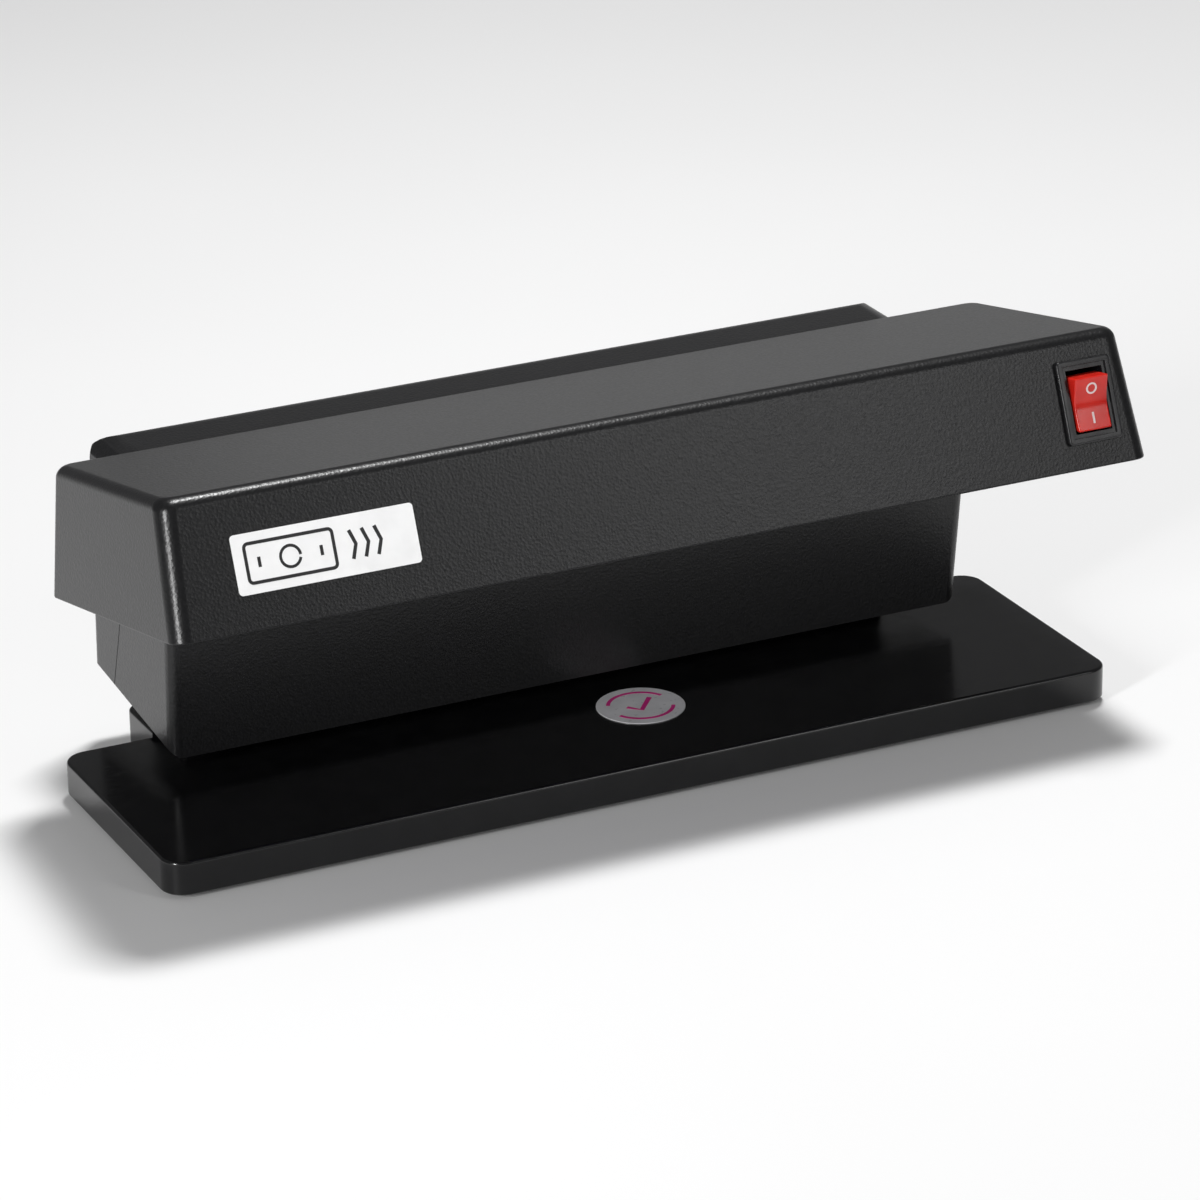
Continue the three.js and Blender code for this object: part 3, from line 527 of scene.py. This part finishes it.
def column_plan(z, inset):
    half = COL["half"] + COL["flare"] * (z - BASE["top"]) - inset
    near, far = max(COL["near_corner"] - inset, 0.9), COL["corner"] - inset
    front, rear = column_front(z) + inset, column_rear(z) - inset
    outline = rounded_rect(-half, half, front, rear, near, 10, far)
    return [(x, y, z) for x, y in outline]


def column_solid(name, inset, raised):
    """The whole column's outside, or its hollow; raised lifts its top from the shade's roof."""
    body = loft(name, [column_plan(COLUMN_LOW, inset), column_plan(COLUMN_HIGH, inset)])
    half = COL["half"] + 1.2 - inset
    outline = rounded_rect(-half, half, FLOOR["z"] + inset, 130, FLOOR["corner"] - inset, 12)
    ring = [[(x, y, z + FLOOR["slope"] * (y - FLOOR["y"])) for x, z in outline]
            for y in (20, 120)]
    keep(body, loft("floor", ring))
    r, z = COL["round"] - inset, COL["top"] - inset
    y = column_rear(COL["top"] - COL["round"]) - inset
    outline = [(0, 0), (130, 0), (130, z - r)] + arc(y - r, z - r, r, 0, 90, 10)
    outline += [(CROWN_FRONT, z), (CROWN_FRONT, shade_roof(CROWN_FRONT) + raised),
                (0, shade_roof(0) + raised)]
    return keep(body, along_x("crown", outline, -PAST_ENDS, PAST_ENDS))


def rear_solid(name, inset):
    """The rear cover's outside, or its hollow: its top also rounds over its two ends."""
    top, r = COL["top"] - inset + NUDGE, COL["round"] - inset
    half = COL["half"] + COL["flare"] * (COL["top"] - BASE["top"] - COL["round"]) - inset + NUDGE
    outline = rounded_rect(-half, half, -30, top, 1, 10, r)
    crown = loft("ends", [[(x, y, z) for x, z in outline] for y in (130 + inset, 40 - inset)])
    return keep(column_solid(name, inset, 20 if inset > 1 else 0), crown)


def seam_y(z):
    """The slanting seam between the column's front half and the rear cover."""
    slope = (SEAM["y_high"] - SEAM["y_low"]) / (SEAM["z_high"] - SEAM["z_low"])
    return SEAM["y_low"] + slope * (z - SEAM["z_low"])


def front_region(name):
    gap, top = SEAM["half_gap"], SEAM["z_high"] - 0.1
    outline = [(0, 0), (seam_y(0) - gap, 0), (seam_y(top) - gap, top),
               (UPPER_FRONT, top), (UPPER_FRONT, 150), (0, 150)]
    return along_x(name, outline, -PAST_ENDS, PAST_ENDS)


def rear_region(name):
    gap, top = SEAM["half_gap"], SEAM["z_high"]
    outline = [(seam_y(0) + gap, 0), (140, 0), (140, 150),
               (UPPER_REAR, 150), (UPPER_REAR, top), (seam_y(top) + gap, top)]
    return along_x(name, outline, -PAST_ENDS, PAST_ENDS)


def post(name, r, x, z, low, high, sides=32):
    """A rod along Y."""
    return rod(name, r, low, high, sides, shift(x, 0, z) @ Z_TO_Y)


def build_column():
    # The hollow is the taller one, so the front half is open at its top, under the shade's roof.
    front = cut(column_solid("column_housing_shell", 0, -5),
                column_solid("inside", COL["wall"], 20))
    keep(front, front_region("front"))
    # Posts and towers start this far inside the wall that carries them.
    sunk = 1.1
    for x, z, end, _ in REAR_SCREWS:
        join(front, post("post", POST_R, x, z, column_front(z) + sunk, end))
        cut(front, post("bore", PILOT_R, x, z, 50, 100, 20))
    low = column_floor_z(COLUMN_SCREW_Y)
    for x in COLUMN_SCREWS:
        join(front, rod("boss", BOSS_R, low + 1, low + 9, 24, shift(x, COLUMN_SCREW_Y, 0)))
        cut(front, rod("bore", PILOT_R, 5, low + 8, 20, shift(x, COLUMN_SCREW_Y, 0)))
    soften(front, 0.3, 2, 40)
    finish_mesh(front, "housing", MAT["shell"], ["column_housing"])

    cover = cut(rear_solid("rear_cover_shell", 0), rear_solid("inside", COL["wall"]))
    keep(cover, rear_region("rear"))
    for x, z, end, head in REAR_SCREWS:
        start = end + 0.5 if z < LOWER_SCREWS_BELOW else UPPER_REAR + 0.1
        tower = post("tower", TOWER_R, x, z, start, column_rear(z) - sunk)
        join(cover, keep(tower, rear_region("rear")))
        cut(cover, post("bore", CLEAR_R, x, z, start - 2, 110, 20),
            post("well", WELL_R, x, z, head, 110))
    half, turn = VENTS["half"], Matrix.Rotation(math.pi / 2, 4, "X")
    for x in VENTS["xs"]:
        outline = rounded_rect(x - half, x + half, VENTS["low"], VENTS["high"], VENTS["corner"], 6)
        cut(cover, prism("vent", outline, -110, -90, turn))
    cut(cover, rod("cord_hole", GLAND["neck"] + 0.4, -9, 9, 48, GLAND_FRAME))
    soften(cover, 0.3, 2, 40)
    finish_mesh(cover, "housing", MAT["shell"], ["rear_cover"])


# ---- lamp shade ----------------------------------------------------------------------------------
def shade_ring(w, inset, extra, r):
    """The shade's tapering outline at a height w above its rim, in the shade's own frame."""
    k = w / SHADE["high"]
    half = SHADE["half"] - SHADE["end"] * k - inset - extra
    v0 = SHADE["front"] * k + inset + extra
    v1 = SHADE["depth"] - SHADE["rear"] * k - inset - extra
    return [(x, v, w) for x, v in rounded_rect(-half, half, v0, v1, r, 12)]


def shade_solid(name, inset):
    """The shade's outside, or its hollow, which runs on below the rim."""
    top = SHADE["high"] - inset
    edge = max(SHADE["edge"] - inset * 0.6, 0.8)
    r = SHADE["corner"] - inset
    rings = []
    if inset > 0:
        rings.append(shade_ring(-4, inset, 0, r))
    else:
        for w, extra in ((0, 0.5), (0.15, 0.15), (0.5, 0)):
            rings.append(shade_ring(w, 0, extra, r - extra))
    steps = 8
    for i in range(steps + 1):
        angle = math.pi / 2 * i / steps
        extra = edge * (1 - math.cos(angle))
        w = top - edge + edge * math.sin(angle)
        rings.append(shade_ring(w, inset, extra, max(r - extra * 0.8, 0.6)))
    obj = loft(name, rings)
    obj.data.transform(SHADE_FRAME)
    return obj


def build_shade():
    shade = cut(shade_solid("lamp_shade_shell", 0), shade_solid("inside", SHADE["wall"]))
    for x in TRAY_SCREWS:
        place = SHADE_FRAME @ shift(x, TRAY_SCREW_V, 0)
        join(shade, rod("post", 3.6, 28.6, 32, 24, place))
        cut(shade, rod("bore", 1.3, 20, 31.6, 20, place))
    loose = 0.3
    w, l = SWITCH["body_w"] / 2 + loose, SWITCH["body_l"] / 2 + loose
    cut(shade, box("switch_hole", -w, w, -l, l, -9, 5, SWITCH_FRAME))
    # The rear wall is open into the column; the leads go through there.
    cut(shade, box("notch", -90, 90, 60, 72, 40, 77))
    for x, z, _, _ in REAR_SCREWS[2:]:
        cut(shade, post("bore", 1.9, x, z, 60, 72, 20))
    finish_mesh(shade, "housing", MAT["shell"], ["lamp_shade"])


# ---- tubes ---------------------------------------------------------------------------------------
def build_tube(v, where):
    """A tube with its two caps and their pins; v is its place from the shade's front rim."""
    body = f"tube_{where}"
    place = SHADE_FRAME @ shift(TUBE["shift"], v, TUBE["w"])
    reach, c = TUBE["length"] / 2, TUBE["cap"]
    r, end, edge = TUBE["r"] - TUBE["glass_gap"], reach - c - 0.2, 0.8
    profile = [(0, -end)] + arc(r - edge, -end + edge, edge, -90, 0, 4)
    profile += arc(r - edge, end - edge, edge, 0, 90, 4) + [(0, end)]
    glass = lathe(f"uv_glass_{where}", profile, 64, place @ Z_TO_X)
    finish_mesh(glass, body, MAT["glass"], [f"uv_tube_{where}"])
    r, pin_r = TUBE["r"], TUBE["pin"]
    profile = [(0, 0), (r - 0.2, 0), (r, 0.25), (r, 1.6), (r - 0.2, 1.9), (r, 2.2), (r, c - 1.6)]
    profile += arc(r - 1.2, c - 1.2, 1.2, 10, 90, 5) + [(5.2, c), (5.2, c - 0.4), (0, c - 0.4)]
    pin = [(0, c - 1), (pin_r, c - 1), (pin_r, c + 6.7), (0.8, c + 7.1), (0, c + 7.1)]
    for side, word in ((-1, "left"), (1, "right")):
        cap = lathe(f"tube_end_{where}_{word}", profile, 64)
        for y in (-TUBE["gap"] / 2, TUBE["gap"] / 2):
            join(cap, lathe("pin", pin, 24, shift(0, y, 0)))
        turn = Z_TO_X if side > 0 else Matrix.Rotation(-math.pi / 2, 4, "Y")
        cap.data.transform(place @ shift(side * (reach - c), 0, 0) @ turn)
        finish_mesh(cap, body, MAT["cap"], [f"tube_cap_{where}_{word}"])


# ---- switch --------------------------------------------------------------------------------------
def build_switch():
    wide, long, lip = SWITCH["wide"] / 2, SWITCH["long"] / 2, SWITCH["lip"]
    rings = []
    eased = ((0.1, 0.0), (lip - 0.6, 0.0), (lip - 0.3, 0.06), (lip - 0.12, 0.2), (lip, 0.5))
    for z, inset in eased:
        w, l = wide - inset, long - inset
        outline = rounded_rect(-w, w, -l, l, 1.0 - inset * 0.6, 5)
        rings.append([(x, y, z) for x, y in outline])
    body = loft("switch_bezel", rings)
    w, l, d = SWITCH["body_w"] / 2, SWITCH["body_l"] / 2, SWITCH["deep"]
    join(body, box("case", -w, w, -l, l, -d, 0.4))
    well_w, well_l = SWITCH["well_w"] / 2, SWITCH["well_l"] / 2
    step_w, step_l = SWITCH["step_w"] / 2, SWITCH["step_l"] / 2
    cut(body, box("well", -well_w, well_w, -well_l, well_l, -d + SWITCH["floor"], 5),
        box("step", -step_w, step_w, -step_l, step_l, lip - SWITCH["step"], 5))
    loose = 0.25
    axle = shift(0, 0, ROCKER["pivot"]) @ Z_TO_X
    cut(body, rod("pivot", ROCKER["axle"] + loose, -8, 8, 20, axle))
    for along, half_w, half_t in TERMINAL_SLOTS:
        cut(body, box("slot", -half_w, half_w, along - half_t, along + half_t, -d - 1, -d + 3))
    soften(body, 0.15, 2, 50)
    body.data.transform(SWITCH_FRAME)
    finish_mesh(body, "housing", MAT["switch"], ["switch_body"])


def rocker_top():
    """The dished top of the rocker from its lower end to its upper end, as (along, out)."""
    reach, crest, dip, soft = (ROCKER[k] for k in ("reach", "crest", "dip", "soft"))
    scale = math.sqrt(1 + soft) - math.sqrt(soft)
    steps = 24
    points = []
    for i in range(steps + 1):
        s = -1 + 2 * i / steps
        blend = math.sqrt(s * s + soft) - math.sqrt(soft)
        points.append((reach * s, dip + (crest - dip) * blend / scale))
    return points


def build_rocker():
    half, reach = ROCKER["half"], ROCKER["reach"]
    outline = rocker_top()[::-1] + [(-reach, -3), (-3, -4.2), (-0.8, -6),
                                    (0.8, -6), (3, -4.2), (reach, -3)]
    rocker = along_x("switch_rocker_key", outline, -half, half)
    soften(rocker, 0.4, 3, 45)
    pivot = shift(0, 0, ROCKER["pivot"])
    reach_x = ROCKER["axle_half"]
    join(rocker, rod("pivot", ROCKER["axle"], -reach_x, reach_x, 24, pivot @ Z_TO_X))
    turn = SWITCH_FRAME @ pivot @ Matrix.Rotation(ROCKER["swing"], 4, "X") @ pivot.inverted()
    rocker.data.transform(turn)
    finish_mesh(rocker, "rocker", MAT["rocker"], ["switch_rocker"])

    slope = math.atan2(ROCKER["crest"] - ROCKER["dip"], reach)
    centre, low, high = MARKS["centre"], MARKS["low"], MARKS["high"]
    height = ROCKER["dip"] + math.tan(slope) * (centre - 0.35)
    rise = shift(0, centre, height) @ Matrix.Rotation(slope, 4, "X")
    inner, outer = MARKS["inner"], MARKS["outer"]
    ring = [(inner, low), (outer, low), (outer, high), (inner, high)]
    off_mark = lathe("rocker_mark_off", ring, 40, turn @ rise)
    finish_mesh(off_mark, "rocker", MAT["mark"])
    fall = shift(0, -centre, height) @ Matrix.Rotation(-slope, 4, "X")
    w, l = MARKS["bar_half"], MARKS["bar_reach"]
    on_mark = box("rocker_mark_on", -w, w, -l, l, low, high, turn @ fall)
    finish_mesh(on_mark, "rocker", MAT["mark"])


# ---- screws and gland ----------------------------------------------------------------------------
def cross(width, depth, size, matrix):
    """The cutter for a screw's cross recess."""
    half, above = width / 2, -0.3
    first = box("cross", -size, size, -half, half, above, depth, matrix)
    return join(first, box("arm", -half, half, -size, size, above, depth, matrix))


def pan_screw(name, node, r, long, head_r, head_h, place):
    """A screw along +Z from under its domed head."""
    side = 0.45
    profile = [(0, -head_h)]
    for degrees in range(15, 91, 15):
        a = math.radians(degrees)
        profile.append((head_r * math.sin(a), -head_h * math.cos(a) * (1 - side) - head_h * side))
    profile += [(head_r, 0), (r, 0), (r, long - 1), (r * 0.3, long), (0, long)]
    screw = lathe(name, profile, 40)
    cut(screw, cross(head_r * 0.28, head_h * 0.6, head_r * 0.58, shift(0, 0, -head_h)))
    screw.data.transform(place)
    finish_mesh(screw, "housing", MAT["zinc"], [node])


def build_screws():
    sunk = [(0, 0), (2.9, 0), (1.4, 1.5), (1.4, 4.6), (0.4, 5.4), (0, 5.4)]
    for i, (x, y) in enumerate(BASE_SCREWS):
        screw = lathe(f"base_screw_head_{i + 1}", sunk, 40)
        cut(screw, cross(0.8, 1.0, 1.6, Matrix.Identity(4)))
        screw.data.transform(shift(x, y, 0.25))
        finish_mesh(screw, "housing", MAT["zinc"], [f"base_screw_{i + 1}"])
    for i, (x, z, _, head) in enumerate(REAR_SCREWS):
        place = shift(x, head + 0.2, z) @ Matrix.Rotation(math.pi / 2, 4, "X")
        long = 16 if z < LOWER_SCREWS_BELOW else 19
        pan_screw(f"rear_screw_head_{i + 1}", f"rear_screw_{i + 1}", 1.4, long, 2.9, 2, place)
    for i, x in enumerate(TRAY_SCREWS):
        place = SHADE_FRAME @ shift(x, TRAY_SCREW_V, 27.2)
        pan_screw(f"tray_screw_head_{i + 1}", f"tray_screw_{i + 1}", 1, 3.5, 2.4, 1.5, place)


def build_gland():
    bore, neck, flange, tip, out = (GLAND[k] for k in ("bore", "neck", "flange", "tip", "out"))
    profile = [(bore, -8), (neck, -8), (neck, 0.1)]
    profile += [(flange - 0.2, 0.1), (flange, 0.3), (flange, 1.5)]
    profile += [(flange - 0.3, 1.8), (neck + 0.3, 2.4), (tip + 0.1, out - 0.3), (tip - 0.2, out)]
    profile += [(bore + 0.2, out), (bore, out - 0.2)]
    gland = lathe("cable_gland_bush", profile, 64, GLAND_FRAME)
    finish_mesh(gland, "housing", MAT["rubber"], ["cable_gland"])


# ---- label and sticker ---------------------------------------------------------------------------
def stroke(name, points, width, low, high, matrix, closed=False):
    """A printed line of even width along 2D points."""
    count = len(points)
    left, right = [], []
    for i, point in enumerate(points):
        before = points[(i - 1) % count] if closed or i > 0 else point
        after = points[(i + 1) % count] if closed or i < count - 1 else point
        d = (Vector(after) - Vector(before)).normalized()
        side = Vector((-d.y, d.x)) * width / 2
        left.append((point[0] + side.x, point[1] + side.y))
        right.append((point[0] - side.x, point[1] - side.y))
    rings = [[(*a, low), (*b, low), (*b, high), (*a, high)] for a, b in zip(left, right)]
    obj = loft(name, rings, closed)
    obj.data.transform(matrix)
    return obj


def merge(name, objects):
    """One mesh of several, which may be apart."""
    bm = bmesh.new()
    for obj in objects:
        bm.from_mesh(obj.data)
        bpy.data.objects.remove(obj)
    return from_bmesh(bm, name)


def build_label():
    """A white film with a banknote outline and three chevrons."""
    w, h = LABEL["wide"] / 2, LABEL["high"] / 2
    place = FACE_FRAME @ shift(LABEL["x"], LABEL["along"], 0)
    top = FILM["low"] + FILM["label"]
    outline = rounded_rect(-w, w, -h, h, 1, 6)
    label = prism("front_label_film", outline, FILM["low"], top, place)
    finish_mesh(label, "housing", MAT["label"], ["front_label"])
    low = top - FILM["sink"]
    high = low + FILM["print"]
    note = rounded_rect(-20, 2, -4.6, 4.6, 1, 5)
    prints = [stroke("p", note, 0.8, low, high, place, True)]
    prints.append(stroke("p", arc(-9, 0, 2.5, 0, 345, 24), 0.7, low, high, place))
    for x in (-16.8, -1.2):
        prints.append(stroke("p", [(x, -1.2), (x, 1.2)], 0.8, low, high, place))
    for i in range(3):
        x = 6.2 + 3.2 * i
        prints.append(stroke("p", [(x, 3.4), (x + 1.2, 0), (x, -3.4)], 0.9, low, high, place))
    finish_mesh(merge("front_label_print", prints), "housing", MAT["ink"])


def build_sticker():
    """A round silver film with two arcs and a tick."""
    place = shift(STICKER["x"], STICKER["y"], BASE["top"])
    r = STICKER["r"]
    under, top, edge = FILM["low"], FILM["low"] + FILM["sticker"], 0.04
    profile = [(0, under), (r, under), (r, top - edge), (r - edge, top), (0, top)]
    disc = lathe("base_sticker_film", profile, 96, place)
    finish_mesh(disc, "housing", MAT["sticker"], ["base_sticker"])
    low = top - FILM["sink"]
    high = low + FILM["print"]
    prints = [stroke("p", arc(0, 0, 8.2, start, start + 130, 24), 1.0, low, high, place)
              for start in (25, 205)]
    tick = [(-3.6, 0.4), (-0.9, -2.6), (4.2, 3.6)]
    prints.append(stroke("p", tick, 1.3, low, high, place))
    finish_mesh(merge("base_sticker_print", prints), "housing", MAT["magenta"])


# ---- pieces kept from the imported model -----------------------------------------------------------
# The material of each node, by what its name starts with.
DRESS = {
    "column_screw": "zinc", "ballast_screw": "zinc", "ballast_bracket": "zinc",
    "ballast_core": "core", "ballast_winding": "copper", "lamp_tray": "aluminium",
    "lamp_holder": "white", "starter": "white", "terminal_block": "white",
    "lead_": "lead_blue", "switch_blade": "brass", "switch_terminal": "brass",
}


def dress(node, mat):
    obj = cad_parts[node]
    obj.data.materials.clear()
    obj.data.materials.append(mat)


def dress_rest():
    """The leads at the switch are brown, the others blue."""
    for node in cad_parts:
        for start, mat in DRESS.items():
            if node.startswith(start):
                brown = start == "lead_" and "switch" in node
                dress(node, MAT["lead_brown" if brown else mat])


# ---- stage, light and camera ---------------------------------------------------------------------
def floor_material():
    p = Paint("stage_floor", roughness=0.6)
    p.colour(p.noise(3, 2), (0.86, 0.86, 0.86), (0.88, 0.88, 0.88))
    return p.mat


# Name, place, aimed at this height over the middle, width, height and power.
LIGHTS = [
    ("overhead", (0.22, 0.2, 1.35), 0.05, 0.22, 0.22, 16),
    ("left_strip", (-1.05, -0.6, 0.4), 0.06, 0.14, 0.45, 9),
    ("front_panel", (0.62, -1.15, 0.7), 0.05, 0.3, 0.6, 2.0),
    ("back_panel", (0.75, 1.1, 0.2), 0.08, 0.9, 0.3, 0.25),
]


def area_light(name, location, aim, wide, high, power):
    data = bpy.data.lights.new(name, "AREA")
    data.shape = "RECTANGLE"
    data.size = wide
    data.size_y = high
    data.energy = power
    obj = bpy.data.objects.new(name, data)
    bpy.context.scene.collection.objects.link(obj)
    obj.location = location
    obj.visible_camera = False
    direction = Vector((0, 0, aim)) - Vector(location)
    obj.rotation_euler = direction.to_track_quat("-Z", "Y").to_euler()


def build_stage():
    bm = bmesh.new()
    far = 8
    corners = [(-far, -far), (far, -far), (far, far), (-far, far)]
    bm.faces.new([bm.verts.new((x, y, 0)) for x, y in corners])
    floor = from_bmesh(bm, "studio_floor")
    floor.data.materials.append(floor_material())
    world = bpy.data.worlds.new("studio")
    bpy.context.scene.world = world
    world.use_nodes = True
    background = world.node_tree.nodes["Background"]
    background.inputs["Color"].default_value = (0.95, 0.95, 0.96, 1)
    background.inputs["Strength"].default_value = 0.15
    for light in LIGHTS:
        area_light(*light)


CAMERA = dict(spot=(-531.7, -1084.9, 548.6), sensor=36, lens=161.8, far=50)


def build_camera():
    """From 25.5 degrees left of the front and 22.4 degrees above, rolled by under a degree."""
    right = Vector((0.8999, -0.4359, -0.0144))
    up = Vector((0.1779, 0.3369, 0.9246))
    back = Vector((-0.3982, -0.8346, 0.3807))
    data = bpy.data.cameras.new("camera")
    data.sensor_width = CAMERA["sensor"]
    data.lens = CAMERA["lens"]
    data.clip_end = CAMERA["far"]
    camera = bpy.data.objects.new("camera", data)
    bpy.context.scene.collection.objects.link(camera)
    place = Matrix((right, up, back)).transposed().to_4x4()
    spot = TO_ROW @ Vector(CAMERA["spot"])
    camera.matrix_world = Matrix.Translation(spot) @ place
    bpy.context.scene.camera = camera


build_base()
build_column()
build_shade()
for where, v in TUBES.items():
    build_tube(v, where)
build_switch()
build_rocker()
build_screws()
build_gland()
build_label()
build_sticker()
dress_rest()
build_stage()
build_camera()
bpy.context.scene.view_settings.view_transform = "Standard"
